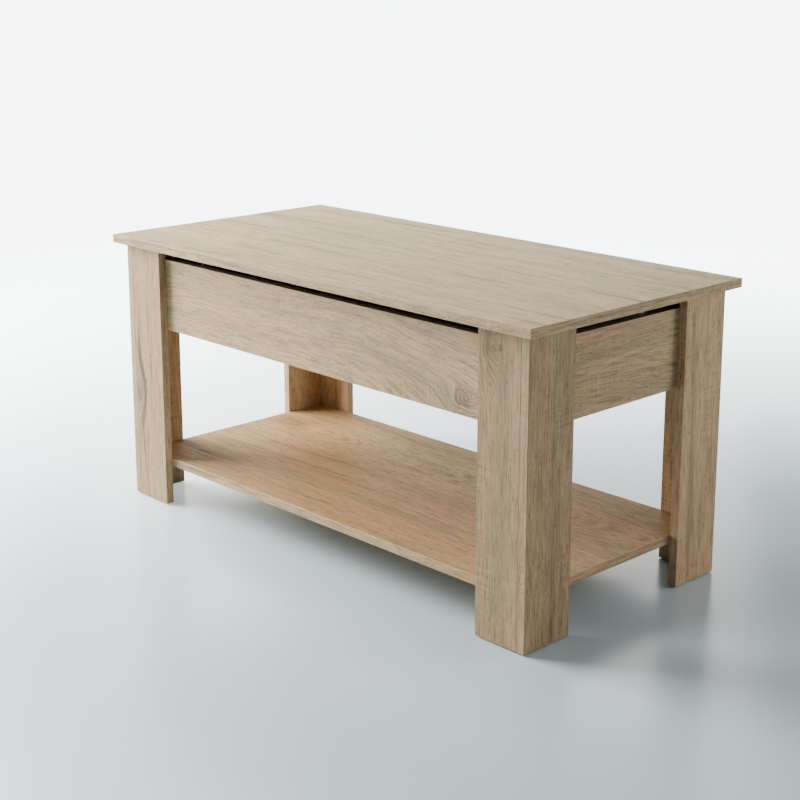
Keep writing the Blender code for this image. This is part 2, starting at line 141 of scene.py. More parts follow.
TAN = srgb(196, 167, 128)
PINK = srgb(195, 154, 119)
GREY = srgb(172, 153, 118)
DARK = srgb(132, 112, 82)
STREAK = srgb(104, 94, 72)
PORE = srgb(118, 93, 66)
# The pale edge colour: partly rubbed wear, partly a painted highlight along the edges.
WORN_AND_HIGHLIT = srgb(212, 188, 152)
# Painted shade: the dark brown painted on the aprons' upper edges, where the top shades them.
EDGE_SHADE_COLOUR = srgb(52, 42, 33)
WEAR_AND_HIGHLIGHT_REACH = (0.0004, 0.0020)
WEAR_AND_HIGHLIGHT_RAGGED = 0.003
JOINT_IN = 0.0009
JOINT_WIDTH = 0.0004
OAK_BUMP = 0.00012


def oak_group():
    """Printed oak decor. It reads a board's own axes: x along it, y across it, z through it.

    The grain lines are the level lines of one field, the distance from the log's heart, so
    streaks, pores and cathedral arcs all follow it. Edge bands carry grain along the edge.
    """
    tree = bpy.data.node_groups.new("oak_decor", "ShaderNodeTree")
    face = tree.interface
    for name, kind in (
        ("Place", "NodeSocketVector"),
        ("Facing", "NodeSocketVector"),
        ("Seed", "NodeSocketFloat"),
        ("Heart", "NodeSocketFloat"),
        ("Depth", "NodeSocketFloat"),
        ("Taper", "NodeSocketFloat"),
        ("Knot", "NodeSocketVector"),
        ("Knot Size", "NodeSocketFloat"),
        ("Waves", "NodeSocketFloat"),
        ("Streaks", "NodeSocketFloat"),
        ("Tint", "NodeSocketColor"),
        ("Painted Edge Shade", "NodeSocketFloat"),
        ("Low", "NodeSocketVector"),
        ("High", "NodeSocketVector"),
    ):
        face.new_socket(name, in_out="INPUT", socket_type=kind)
    for name, kind in (
        ("Color", "NodeSocketColor"),
        ("Roughness", "NodeSocketFloat"),
        ("Height", "NodeSocketFloat"),
    ):
        face.new_socket(name, in_out="OUTPUT", socket_type=kind)
    given = tree.nodes.new("NodeGroupInput").outputs
    result = tree.nodes.new("NodeGroupOutput").inputs

    place = node(tree, "ShaderNodeSeparateXYZ", {0: given["Place"]}).outputs
    facing = node(tree, "ShaderNodeSeparateXYZ", {0: given["Facing"]}).outputs
    on_end = calc(tree, "GREATER_THAN", calc(tree, "ABSOLUTE", facing[0]), 0.6)
    on_edge = calc(tree, "GREATER_THAN", calc(tree, "ABSOLUTE", facing[1]), 0.6)
    on_thin = calc(tree, "MAXIMUM", on_end, on_edge)

    def pick(share, one, two):
        return calc(tree, "ADD", calc(tree, "MULTIPLY", calc(tree, "SUBTRACT", two, one), share), one)

    u = pick(on_end, place[0], place[1])
    v = pick(on_thin, place[1], place[2])
    seed = calc(tree, "MULTIPLY_ADD", on_end, 7.3, given["Seed"])
    seed = calc(tree, "MULTIPLY_ADD", on_edge, 3.1, seed)

    def at(along, across, shift, y=None):
        """A place in noise, stretched along the grain."""
        return vector(
            tree,
            calc(tree, "MULTIPLY", u, along),
            calc(tree, "MULTIPLY", v if y is None else y, across),
            calc(tree, "ADD", seed, shift),
        )

    # Slow waves, then the distance from the heart, which comes and goes along the board.
    wave = calc(tree, "SUBTRACT", noise(tree, at(2.2, 3.5, 0.0), detail=1.0), 0.5)
    ripple = calc(tree, "SUBTRACT", noise(tree, at(9.0, 16.0, 1.7), detail=1.0), 0.5)
    bend = calc(tree, "MULTIPLY", wave, 0.050)
    bend = calc(tree, "MULTIPLY_ADD", ripple, 0.007, bend)
    y = calc(tree, "MULTIPLY_ADD", bend, given["Waves"], v)
    rise = calc(tree, "MULTIPLY_ADD", u, given["Taper"], given["Depth"])
    swell = calc(tree, "SUBTRACT", noise(tree, at(1.7, 0.0, 4.2), detail=1.0), 0.5)
    rise = calc(tree, "MULTIPLY_ADD", swell, 0.05, rise)
    off = calc(tree, "SUBTRACT", y, given["Heart"])
    square = calc(tree, "MULTIPLY_ADD", off, off, calc(tree, "MULTIPLY", rise, rise))
    heart = calc(tree, "SQRT", square)
    ring = pick(on_thin, heart, y)

    # A knot pushes the lines round itself, less evenly the further out they are.
    knot = node(tree, "ShaderNodeSeparateXYZ", {0: given["Knot"]}).outputs
    stir = calc(tree, "SUBTRACT", noise(tree, at(55.0, 90.0, 50.0), detail=2.0), 0.5)
    knot_u = calc(tree, "MULTIPLY", calc(tree, "SUBTRACT", u, knot[0]), 0.5)
    knot_u = calc(tree, "MULTIPLY_ADD", stir, 0.012, knot_u)
    knot_v = calc(tree, "MULTIPLY_ADD", stir, 0.014, calc(tree, "SUBTRACT", v, knot[1]))
    far = calc(tree, "MULTIPLY_ADD", knot_u, knot_u, calc(tree, "MULTIPLY", knot_v, knot_v))
    size = calc(tree, "MAXIMUM", given["Knot Size"], 0.0005)
    near = calc(tree, "DIVIDE", far, calc(tree, "MULTIPLY", size, size))
    flat = calc(tree, "SUBTRACT", 1.0, on_thin)
    bulge = calc(tree, "MULTIPLY", calc(tree, "EXPONENT", calc(tree, "MULTIPLY", near, -0.5)), flat)
    core = calc(tree, "MULTIPLY", calc(tree, "EXPONENT", calc(tree, "MULTIPLY", near, -3.0)), flat)
    ring = calc(tree, "MULTIPLY_ADD", bulge, calc(tree, "MULTIPLY", size, 1.6), ring)

    broad = noise(tree, at(1.3, 30.0, 2.0, ring), detail=2.0)
    middle = noise(tree, at(6.5, 110.0, 5.0, ring), detail=2.5, rough=0.6)
    fibre = noise(tree, at(22.0, 380.0, 9.0, ring), detail=2.5, rough=0.65)
    ticks = noise(tree, at(95.0, 640.0, 12.0, ring), detail=1.0)
    accent = noise(tree, at(3.2, 60.0, 20.0, ring), detail=3.0, rough=0.55)
    tint = noise(tree, at(1.8, 20.0, 26.0, ring), detail=2.0)

    # Faint saw marks across the grain, in patches.
    patch = remap(tree, noise(tree, at(5.0, 9.0, 40.0), detail=1.0), 0.54, 0.66)
    cuts = noise(tree, at(240.0, 9.0, 31.0), detail=1.0)
    cuts = calc(tree, "MULTIPLY", calc(tree, "SUBTRACT", cuts, 0.5), patch)

    colour = mixed(tree, remap(tree, tint, 0.36, 0.66, 0.0, 0.75), TAN, PINK)
    colour = mixed(tree, remap(tree, broad, 0.42, 0.68, 0.0, 0.80), colour, GREY)
    colour = mixed(tree, remap(tree, middle, 0.48, 0.76, 0.0, 0.36), colour, DARK)
    streak = calc(tree, "MULTIPLY", remap(tree, accent, 0.50, 0.78), given["Streaks"])
    colour = mixed(tree, streak, colour, STREAK)
    colour = mixed(tree, remap(tree, fibre, 0.44, 0.70, 0.0, 0.44), colour, PORE)
    cluster = remap(tree, middle, 0.35, 0.62, 0.30, 1.0)
    pore = calc(tree, "MULTIPLY", remap(tree, ticks, 0.57, 0.68, 0.0, 0.70), cluster)
    colour = mixed(tree, pore, colour, PORE)
    swirl = calc(tree, "MULTIPLY", bulge, remap(tree, fibre, 0.38, 0.60, 0.15, 0.85))
    colour = mixed(tree, calc(tree, "MAXIMUM", swirl, calc(tree, "MULTIPLY", core, 0.70)), colour, STREAK)
    light = calc(tree, "MULTIPLY_ADD", cuts, 0.60, 1.0)
    light = calc(tree, "MULTIPLY_ADD", calc(tree, "SUBTRACT", fibre, 0.5), -0.55, light)
    shade = node(tree, "ShaderNodeCombineColor", {0: light, 1: light, 2: light}).outputs[0]
    colour = mixed(tree, 1.0, colour, shade, "MULTIPLY")
    # Painted light and shade: each board's faces are multiplied by its tint, which makes the board
    # lighter, darker or warmer as the light falls on it.
    colour = mixed(tree, flat, colour, given["Tint"], "MULTIPLY")

    # Near an edge, where two faces meet, the decor is paler, partly rubbed wear and partly a painted
    # highlight, and a fine joint line shows.
    below = vector_calc(tree, "SUBTRACT", given["Place"], given["Low"])
    above = vector_calc(tree, "SUBTRACT", given["High"], given["Place"])
    inside = vector_calc(tree, "MINIMUM", below, above)
    depths = node(tree, "ShaderNodeSeparateXYZ", {0: inside}).outputs
    least = calc(tree, "MINIMUM", depths[0], calc(tree, "MINIMUM", depths[1], depths[2]))
    most = calc(tree, "MAXIMUM", depths[0], calc(tree, "MAXIMUM", depths[1], depths[2]))
    total = calc(tree, "ADD", depths[0], calc(tree, "ADD", depths[1], depths[2]))
    to_edge = calc(tree, "SUBTRACT", calc(tree, "SUBTRACT", total, least), most)
    ragged = calc(tree, "SUBTRACT", noise(tree, given["Place"], scale=140.0, detail=3.0, rough=0.7), 0.5)
    ragged_to_edge = calc(tree, "MULTIPLY_ADD", ragged, WEAR_AND_HIGHLIGHT_RAGGED, to_edge)
    worn_and_highlit = remap(tree, ragged_to_edge, *WEAR_AND_HIGHLIGHT_REACH, 0.45, 0.0)
    colour = mixed(tree, worn_and_highlit, colour, WORN_AND_HIGHLIT)
    from_joint = calc(tree, "ABSOLUTE", calc(tree, "SUBTRACT", to_edge, JOINT_IN))
    joint = remap(tree, from_joint, 0.0, JOINT_WIDTH, 0.5, 0.0)
    colour = mixed(tree, joint, colour, PORE)
    # Painted shade: on boards given an edge shade, faces turned upward are painted dark brown, for the
    # shade in the gap under the top.
    upward = calc(tree, "GREATER_THAN", facing[1], 0.6)
    colour = mixed(tree, calc(tree, "MULTIPLY", upward, given["Painted Edge Shade"]), colour, EDGE_SHADE_COLOUR)

    rough = calc(tree, "MULTIPLY_ADD", fibre, 0.20, 0.44)
    rough = calc(tree, "MULTIPLY_ADD", pore, 0.12, rough)
    rough = calc(tree, "MULTIPLY_ADD", worn_and_highlit, -0.15, rough)
    height = calc(tree, "MULTIPLY_ADD", pore, -1.0, calc(tree, "MULTIPLY", fibre, -0.4))
    height = calc(tree, "MULTIPLY_ADD", cuts, 0.5, height)
    for name, value in (("Color", colour), ("Roughness", rough), ("Height", height)):
        tree.links.new(value, result[name])
    return tree


OAK = oak_group()


def oak(
    boards,
    axes,
    seed,
    heart=-0.45,
    depth=0.02,
    taper=0.0,
    knot=(9, 9),
    knot_size=0.0,
    waves=1.0,
    streaks=0.35,
    tint=(1.0, 1.0, 1.0),
    gloss=0.18,
    painted_edge_shade=0.0,
):
    """Dresses CAD nodes cut from one board. axes names its length, width and thickness, as "XZY"."""
    made, tree, shader = new_material(f"oak_{boards[0]}", Specular_IOR_Level=gloss)
    boxes = [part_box(board) for board in boards]
    low = [min(box[0]["XYZ".index(axis)] for box in boxes) for axis in axes]
    high = [max(box[1]["XYZ".index(axis)] for box in boxes) for axis in axes]
    source = node(tree, "ShaderNodeTexCoord").outputs
    turned = []
    for output in ("Object", "Normal"):
        parts = node(tree, "ShaderNodeSeparateXYZ", {0: source[output]}).outputs
        turned.append(vector(tree, *(parts["XYZ".index(axis)] for axis in axes)))
    group = node(tree, "ShaderNodeGroup", node_tree=OAK)
    tree.links.new(turned[0], group.inputs["Place"])
    tree.links.new(turned[1], group.inputs["Facing"])
    for key, value in (
        ("Knot", (*knot, 0.0)),
        ("Low", low),
        ("High", high),
        ("Seed", seed),
        ("Heart", heart),
        ("Depth", depth),
        ("Taper", taper),
        ("Knot Size", knot_size),
        ("Waves", waves),
        ("Streaks", streaks),
        ("Tint", (*tint, 1.0)),
        ("Painted Edge Shade", painted_edge_shade),
    ):
        group.inputs[key].default_value = value
    out = group.outputs
    connect(tree, shader, out["Color"], out["Roughness"], out["Height"], OAK_BUMP, 0.7)
    for board in boards:
        for slot in NODES[board].material_slots:
            slot.material = made


# Painted light and shade: the top's tint shifts it toward the yellow-green light on it, the shelf's
# darkens and warms it as its shade does, and the leg boards' tints make them lighter or darker as the
# light falls.
TOP_PAINTED_LIGHT = (0.98, 1.035, 0.86)
SHELF_PAINTED_SHADE = (0.76, 0.685, 0.56)
# How much painted shade goes on the aprons' upper edges.
EDGE_SHADE_SHARE = 0.9
LEG_BOARDS = {
    "front_left": {
        "end": {"seed": 88.0},
        "face": {
            "seed": 94.0,
            "tint": (0.92, 0.93, 0.90),
            "streaks": 1.7,
            "knot": (0.205, -0.462),
            "knot_size": 0.014,
        },
    },
    "front_right": {
        "end": {"seed": 105.0, "streaks": 0.55, "tint": (0.90, 0.90, 0.89)},
        "face": {"seed": 99.0, "tint": (0.88, 0.88, 0.86), "knot": (0.448, 0.413), "knot_size": 0.015},
    },
    "rear_left": {
        "end": {"seed": 110.0},
        "face": {"seed": 116.0},
    },
    "rear_right": {
        "end": {"seed": 121.0, "streaks": 0.65, "tint": (1.10, 1.04, 1.02)},
        "face": {"seed": 127.0},
    },
}


def dress_boards():
    """Each board gets its own stretch of the decor. Its tint is painted light and shade: a board made
    lighter, darker or warmer as the light falls on it.
    """
    top = {"heart": -0.42, "depth": 0.05, "taper": 0.05, "streaks": 1.0, "waves": 0.7}
    oak(("top_panel", "top_edge_band"), "XYZ", 3.0, tint=TOP_PAINTED_LIGHT, **top)
    shelf = {"heart": 0.09, "depth": 0.06, "taper": 0.05, "streaks": 0.5, "gloss": 0.08}
    oak(("lower_shelf",), "XYZ", 17.0, tint=SHELF_PAINTED_SHADE, **shelf)
    oak(("compartment_floor",), "XYZ", 29.0, heart=-0.1, depth=0.08)
    front = {"heart": 0.305, "depth": 0.035, "taper": 0.16, "knot": (0.352, 0.352), "knot_size": 0.014}
    oak(("front_apron",), "XZY", 41.0, painted_edge_shade=EDGE_SHADE_SHARE, tint=(1.03, 1.05, 1.03), **front)
    oak(("rear_apron",), "XZY", 53.0, heart=0.28, depth=0.03, taper=0.03, painted_edge_shade=EDGE_SHADE_SHARE)
    oak(("left_apron",), "YZX", 61.0, heart=0.30, depth=0.05, taper=0.05, painted_edge_shade=EDGE_SHADE_SHARE)
    oak(("right_apron",), "YZX", 71.0, heart=0.29, depth=0.05, taper=0.08, painted_edge_shade=EDGE_SHADE_SHARE)
    for i, (depth, side, corner) in enumerate(CORNERS):
        for kind, axes, across in (("end", "ZYX", depth * 0.182), ("face", "ZXY", side * 0.435)):
            boards = (f"{corner}_leg_{kind}_board",)
            heart = across + 0.11 * (-1) ** i
            oak(boards, axes, heart=heart, taper=0.04, waves=0.3, **LEG_BOARDS[corner][kind])


# ---------------------------------------------------------------- mesh code

ROUND = 48
ARC_STEPS = 22
SHARP = math.radians(38)
OVERSHOOT = 0.001


def middle(name):
    """The middle of a CAD node's box."""
    low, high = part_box(name)
    return (low + high) / 2


def middle_x(name):
    """A CAD node's middle distance from the table's middle, along X."""
    return abs(middle(name).x)


def span(name):
    """A CAD node's nearer and further distance from the table's middle, along X."""
    low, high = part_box(name)
    return sorted((abs(low.x), abs(high.x)))


def along(angle, distance):
    """The (y, z) offset of a point this far from a pivot."""
    return Vector((math.cos(angle), math.sin(angle))) * distance


def softened(points, radius, closed=False, steps=3):
    """An outline with each corner rounded. An open outline keeps its two ends."""
    outline = []
    for i, point in enumerate(points):
        here = Vector(point)
        if not closed and i in (0, len(points) - 1):
            outline.append(here)
            continue
        before = Vector(points[i - 1]) - here
        after = Vector(points[(i + 1) % len(points)]) - here
        half = before.angle(after) / 2
        if half > math.radians(85):
            outline.append(here)
            continue
        reach = min(radius / math.tan(half), 0.45 * before.length, 0.45 * after.length)
        fillet = reach * math.tan(half)
        centre = here + (before.normalized() + after.normalized()).normalized() * fillet / math.sin(half)
        start = here + before.normalized() * reach - centre
        end = here + after.normalized() * reach - centre
        first = math.atan2(start.y, start.x)
        sweep = math.remainder(math.atan2(end.y, end.x) - first, math.tau)
        for step in range(steps + 1):
            outline.append(centre + along(first + sweep * step / steps, fillet))
    return outline


def united(one, two):
    """The outline round two (y, z) outlines that overlap."""
    points = [Vector(point) for point in (*one, *two)]
    faces = [list(range(len(one))), list(range(len(one), len(points)))]
    found = geometry.delaunay_2d_cdt(points, [], faces, 1, 1e-7)
    places, triangles = found[0], found[2]
    edges = {(t[i], t[(i + 1) % 3]) for t in triangles for i in range(3)}
    after = {a: b for a, b in sorted(edges) if (b, a) not in edges}
    outline = [min(after)]
    while after[outline[-1]] != outline[0]:
        outline.append(after[outline[-1]])
    return [places[i] for i in outline]


def prism(outline, thickness):
    """A (y, z) outline extruded along X, with its middle at x = 0."""
    bm = bmesh.new()
    face = bm.faces.new([bm.verts.new((-thickness / 2, y, z)) for y, z in outline])
    made = bmesh.ops.extrude_face_region(bm, geom=[face])["geom"]
    moved = [item for item in made if isinstance(item, bmesh.types.BMVert)]
    bmesh.ops.translate(bm, vec=(thickness, 0, 0), verts=moved)
    bmesh.ops.recalc_face_normals(bm, faces=bm.faces)
    return bm


def lathe(profile):
    """An (x, radius) outline, from low x to high x, spun about the X axis into a closed solid."""
    bm = bmesh.new()
    rings = []
    for x, radius in profile:
        turns = [math.tau * step / ROUND for step in range(ROUND)]
        rings.append([bm.verts.new((x, -radius * math.sin(t), radius * math.cos(t))) for t in turns])
    first = bm.verts.new((profile[0][0], 0.0, 0.0))
    last = bm.verts.new((profile[-1][0], 0.0, 0.0))
    for i in range(ROUND):
        j = (i + 1) % ROUND
        bm.faces.new((first, rings[0][j], rings[0][i]))
        bm.faces.new((last, rings[-1][i], rings[-1][j]))
        for ring, after in zip(rings, rings[1:]):
            bm.faces.new((ring[i], ring[j], after[j], after[i]))
    bmesh.ops.recalc_face_normals(bm, faces=bm.faces)
    return bm


def tube(outer, inner, length):
    """A ring along X from x = 0, with eased edges."""
    ease = min(outer - inner, length) * 0.2
    corners = (
        (0.0, inner + ease),
        (0.0, outer - ease),
        (ease, outer),
        (length - ease, outer),
        (length, outer - ease),
        (length, inner + ease),
        (length - ease, inner),
        (ease, inner),
    )
    bm = bmesh.new()
    loops = []
    for step in range(ROUND):
        turn = math.tau * step / ROUND
        loops.append([bm.verts.new((x, r * math.cos(turn), r * math.sin(turn))) for x, r in corners])
    for step, loop in enumerate(loops):
        after = loops[(step + 1) % ROUND]
        for i in range(len(corners)):
            j = (i + 1) % len(corners)
            bm.faces.new((loop[i], loop[j], after[j], after[i]))
    bmesh.ops.recalc_face_normals(bm, faces=bm.faces)
    return bm


def cut_out(bm, cutters):
    """A bmesh as a mesh, after each cutter is cut out of it."""
    helpers = []
    for shape in (bm, *cutters):
        mesh = bpy.data.meshes.new("shape")
        shape.to_mesh(mesh)
        shape.free()
        helpers.append(bpy.data.objects.new("shape", mesh))
        bpy.context.scene.collection.objects.link(helpers[-1])
    for helper in helpers[1:]:
        modifier = helpers[0].modifiers.new("shape", "BOOLEAN")
        modifier.operation = "DIFFERENCE"
        modifier.solver = "EXACT"
        modifier.object = helper
    graph = bpy.context.evaluated_depsgraph_get()
    made = bpy.data.meshes.new_from_object(helpers[0].evaluated_get(graph))
    for helper in helpers:
        bpy.data.objects.remove(helper)
    return made


def piece(name, mesh, material, body, place, turn=(0, 0, 0), stands_for=()):
    """A new piece on a CAD body. mesh may be a bmesh, or a mesh that several pieces share."""
    if isinstance(mesh, bmesh.types.BMesh):
        bm = mesh
        mesh = bpy.data.meshes.new(name)
        bm.to_mesh(mesh)
        bm.free()
    if not mesh.materials:
        mesh.materials.append(material)
    mesh.shade_smooth()
    mesh.set_sharp_from_angle(angle=SHARP)
    obj = bpy.data.objects.new(name, mesh)
    obj.location = place
    obj.rotation_euler = turn
    bpy.context.scene.collection.objects.link(obj)
    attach(obj, body)
    if stands_for:
        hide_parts(*stands_for)
    return obj


def rod(radius, start, run):
    """A round cutter from a point along a vector."""
    bm = bmesh.new()
    run = Vector(run)
    turn = run.to_track_quat("Z", "Y").to_matrix().to_4x4()
    where = Matrix.Translation(Vector(start) + run / 2) @ turn
    bmesh.ops.create_cone(
        bm, cap_ends=True, segments=ROUND, radius1=radius, radius2=radius, depth=run.length, matrix=where
    )
    return bm


def recess(corners, top, bottom, narrow=1.0):
    """A cutter in a screw's head: an outline about X, from x = top down to x = bottom."""
    bm = bmesh.new()
    rings = []
    for x, share in ((top, 1.0), (bottom, narrow)):
        rings.append([bm.verts.new((x, y * share, z * share)) for y, z in corners])
    bm.faces.new(rings[0])
    bm.faces.new(rings[1])
    for i in range(len(corners)):
        j = (i + 1) % len(corners)
        bm.faces.new((rings[0][i], rings[0][j], rings[1][j], rings[1][i]))
    bmesh.ops.recalc_face_normals(bm, faces=bm.faces)
    return bm


# ---------------------------------------------------------------- hardware finishes


def mottled(name, one, two, scale, rough, depth, bumps, **settings):
    """A finish that drifts between two colours, with uneven roughness and a fine skin."""
    made, tree, shader = new_material(name, **settings)
    where = node(tree, "ShaderNodeTexCoord").outputs["Object"]
    cloud = noise(tree, where, scale=scale, detail=3.0, rough=0.6)
    wear = noise(tree, where, scale=scale * 4.3, detail=4.0, rough=0.7)
    colour = mixed(tree, remap(tree, cloud, 0.35, 0.65), srgb(*one), srgb(*two))
    skin = noise(tree, where, scale=bumps, detail=2.0)
    connect(tree, shader, colour, remap(tree, wear, 0.3, 0.7, rough[0], rough[1]), skin, depth)
    return made


def coated_steel():
    """Black powder coat: an orange-peel skin, with fine rubs where it shows greyer."""
    made, tree, shader = new_material("black_coat", Specular_IOR_Level=0.5)
    where = node(tree, "ShaderNodeTexCoord").outputs["Object"]
    peel = noise(tree, where, scale=1500.0, detail=1.5)
    parts = node(tree, "ShaderNodeSeparateXYZ", {0: where}).outputs
    drawn = vector(
        tree,
        calc(tree, "MULTIPLY", parts[0], 300.0),
        calc(tree, "MULTIPLY", parts[1], 40.0),
        calc(tree, "MULTIPLY", parts[2], 900.0),
    )
    rub = remap(tree, noise(tree, drawn, detail=3.0, rough=0.65), 0.60, 0.74)
    patch = remap(tree, noise(tree, where, scale=45.0, detail=2.0), 0.45, 0.65)
    rub = calc(tree, "MULTIPLY", rub, calc(tree, "MULTIPLY", patch, 0.35))
    colour = mixed(tree, patch, srgb(26, 26, 28), srgb(34, 34, 36))
    colour = mixed(tree, rub, colour, srgb(96, 96, 98))
    rough = calc(tree, "MULTIPLY_ADD", rub, -0.15, remap(tree, peel, 0.3, 0.7, 0.36, 0.50))
    connect(tree, shader, colour, rough, peel, 0.00004, 0.6)
    return made


def plated_steel():
    """Zinc plate on turned parts: turning rings round the piece's own X axis, and a faint tint."""
    made, tree, shader = new_material("zinc_plate", Metallic=1.0)
    where = node(tree, "ShaderNodeTexCoord").outputs["Object"]
    parts = node(tree, "ShaderNodeSeparateXYZ", {0: where}).outputs
    square = calc(tree, "MULTIPLY_ADD", parts[1], parts[1], calc(tree, "MULTIPLY", parts[2], parts[2]))
    ring = calc(tree, "SINE", calc(tree, "MULTIPLY", calc(tree, "SQRT", square), 16000.0))
    cloud = noise(tree, where, scale=160.0, detail=3.0, rough=0.6)
    colour = mixed(tree, remap(tree, cloud, 0.35, 0.65), srgb(160, 163, 170), srgb(170, 166, 154))
    stain = remap(tree, noise(tree, where, scale=420.0, detail=3.0), 0.55, 0.75, 0.0, 0.4)
    colour = mixed(tree, stain, colour, srgb(112, 112, 114))
    connect(tree, shader, colour, remap(tree, cloud, 0.3, 0.7, 0.24, 0.38), ring, 0.000006, 0.5)
    return made


# ---------------------------------------------------------------- lift hardware

FILLET = 0.0003
GAP = 0.0003
PIN_RADIUS = 0.0040
HEAD_RADIUS = 0.0065
HEAD = 0.0012
NECK_RADIUS = 0.0035
GROOVE_RADIUS = 0.0022
GROOVE_WIDTH = 0.0046
ARM_WIDTH = 0.022
LUG_RADIUS = 0.0070
STUD_RADIUS = 0.0025
COLLAR_RADIUS = 0.0045
STOP_RADIUS = 0.0030
WIRE_RADIUS = 0.0009
COIL_RADIUS = 0.0052
COILS = 30
POINTS_PER_COIL = 18
HOOK_TO_COIL = 0.0075
HOOK_END = math.radians(300)
ENDS = ("front", "rear")
SHEET = 0.002
SHEET_CORNER = 0.004
BASE_PLATE = (
    (-0.152, 0.366),
    (0.052, 0.366),
    (0.052, 0.420),
    (-0.070, 0.4445),
    (-0.108, 0.4555),
    (-0.140, 0.4555),
    (-0.152, 0.440),
)
RAIL_EDGE = 0.4476
RAIL_EAR = 0.155
RAIL_SLOPE = 0.015
SCREW_RADIUS = 0.0020
SCREW_HEAD_RADIUS = 0.0040
SCREW_HEAD = 0.0022
SCREW_REACH = 0.0102
WASHER_RADIUS = 0.0085
LEG_BOLT_Y = 0.180
LEG_BOLT_Z = (0.365, 0.400)
LEG_BOLT_LONG = 0.012
BOLT_RADIUS = 0.0025
BOLT_HEAD_RADIUS = 0.0055
BOLT_RIM = 0.0006
BOLT_DOME = 0.0022
SOCKET_RADIUS = 0.0023
NAIL_RADIUS = 0.0010
WASHER_PLAY = 0.0001
ARM_EASE = 0.0005
SHEET_EASE = 0.0004
GLIDE = 0.0015


def spring_tip(start, groove):
    """The end of a pin that holds a spring: a neck, a groove for the hook, and a flange."""
    return [
        (start, NECK_RADIUS),
        (groove, NECK_RADIUS),
        (groove, GROOVE_RADIUS),
        (groove + GROOVE_WIDTH, GROOVE_RADIUS),
        (groove + GROOVE_WIDTH, NECK_RADIUS),
        (groove + GROOVE_WIDTH + HEAD, NECK_RADIUS),
    ]


def spring_mesh(first, last):
    """A wire spring along Y about (0, 0, 0), between two hook middles, as a mesh."""
    hooks = [HOOK_END + (math.radians(90) - HOOK_END) * i / ARC_STEPS for i in range(ARC_STEPS + 1)]
    points = [
        Vector((0, first + COIL_RADIUS * math.cos(a), COIL_RADIUS * math.sin(a))) for a in hooks
    ]
    start = first + HOOK_TO_COIL
    end = last - HOOK_TO_COIL
    count = COILS * POINTS_PER_COIL
    for i in range(count + 1):
        turn = math.tau * i / POINTS_PER_COIL
        y = start + (end - start) * i / count
        points.append(Vector((COIL_RADIUS * math.sin(turn), y, COIL_RADIUS * math.cos(turn))))
    points += [
        Vector((0, last - COIL_RADIUS * math.cos(a), COIL_RADIUS * math.sin(a)))
        for a in reversed(hooks)
    ]
    curve = bpy.data.curves.new("wire", "CURVE")
    curve.dimensions = "3D"
    curve.bevel_depth = WIRE_RADIUS
    curve.bevel_resolution = 2
    curve.use_fill_caps = True
    spline = curve.splines.new("POLY")
    spline.points.add(len(points) - 1)
    for point, place in zip(spline.points, points):
        point.co = (*place, 1.0)
    wire = bpy.data.objects.new("wire", curve)
    bpy.context.scene.collection.objects.link(wire)
    graph = bpy.context.evaluated_depsgraph_get()
    mesh = bpy.data.meshes.new_from_object(wire.evaluated_get(graph))
    bpy.data.objects.remove(wire)
    return mesh


def make_spring(hand, side, material):
    """A wire spring that stands for the spring node, between its ends, on the root."""
    front = middle(f"{hand}_front_lower_pin")
    low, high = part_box(f"{hand}_spring")
    first = low.y + COIL_RADIUS + WIRE_RADIUS
    last = high.y - COIL_RADIUS - WIRE_RADIUS
    place = Vector(((low.x + high.x) / 2, 0, front.z))
    spring = piece(
        f"{hand}_wire_spring",
        spring_mesh(first, last),
        material,
        "root",
        place,
        stands_for=(f"{hand}_spring",),
    )
    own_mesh(spring)


def make_pins(hand, side, zinc):
    """The pins, studs and stops, turned with eased edges. Each starts at the arm's outer face."""
    arm_inner, arm_outer = span(f"{hand}_front_arm")
    base_inner, base_outer = span(f"{hand}_base_plate")
    rail_outer = span(f"{hand}_top_rail")[1]
    thickness = arm_outer - arm_inner
    tail = base_outer - GAP - arm_outer
    head = thickness + GAP
    groove = arm_outer - middle_x(f"{hand}_spring") - GROOVE_WIDTH / 2
    turn = (0, 0, math.pi if side > 0 else 0)
    shaft = [(-tail, PIN_RADIUS), (head, PIN_RADIUS), (head, HEAD_RADIUS), (head + HEAD, HEAD_RADIUS)]
    sheet = base_outer - base_inner
    inner = arm_outer - (rail_outer - sheet) + GAP
    upper = [
        (-GAP - HEAD, HEAD_RADIUS),
        (-GAP, HEAD_RADIUS),
        (-GAP, PIN_RADIUS),
        (inner, PIN_RADIUS),
        (inner, HEAD_RADIUS),
        (inner + HEAD, HEAD_RADIUS),
    ]
    stud = [
        (GAP, STUD_RADIUS),
        (head, STUD_RADIUS),
        (head, COLLAR_RADIUS),
        (head + HEAD, COLLAR_RADIUS),
        *spring_tip(head + HEAD, groove),
    ]
    stop = [(-tail, STOP_RADIUS), (thickness, STOP_RADIUS)]
    for node_name, profile, body in (
        ("front_lower_pin", shaft + spring_tip(head + HEAD, groove), "root"),
        ("rear_lower_pin", shaft, "root"),
        ("front_upper_pin", upper, "top"),
        ("rear_upper_pin", upper, "top"),
        ("spring_stud", stud, f"{hand}_rear_arm"),
        ("stop_pin", stop, "root"),
    ):
        node_name = f"{hand}_{node_name}"
        at = middle(node_name)
        full = [(profile[0][0], 0.0), *profile, (profile[-1][0], 0.0)]
        eased = softened(full, FILLET)[1:-1]
        piece(
            f"{node_name}_turned",
            lathe(eased),
            zinc,
            body,
            (side * arm_outer, at.y, at.z),
            turn,
            (node_name,),
        )


def arm_outline(length, radius, angle=0.0):
    """A bar's outline with round ends, from a pivot at (0, 0), laid at this angle."""
    outline = []
    for end, first in ((length, -90), (0.0, 90)):
        for step in range(ARC_STEPS + 1):
            turn = math.radians(first + 180 * step / ARC_STEPS)
            outline.append(along(angle, end) + along(angle + turn, radius))
    return outline


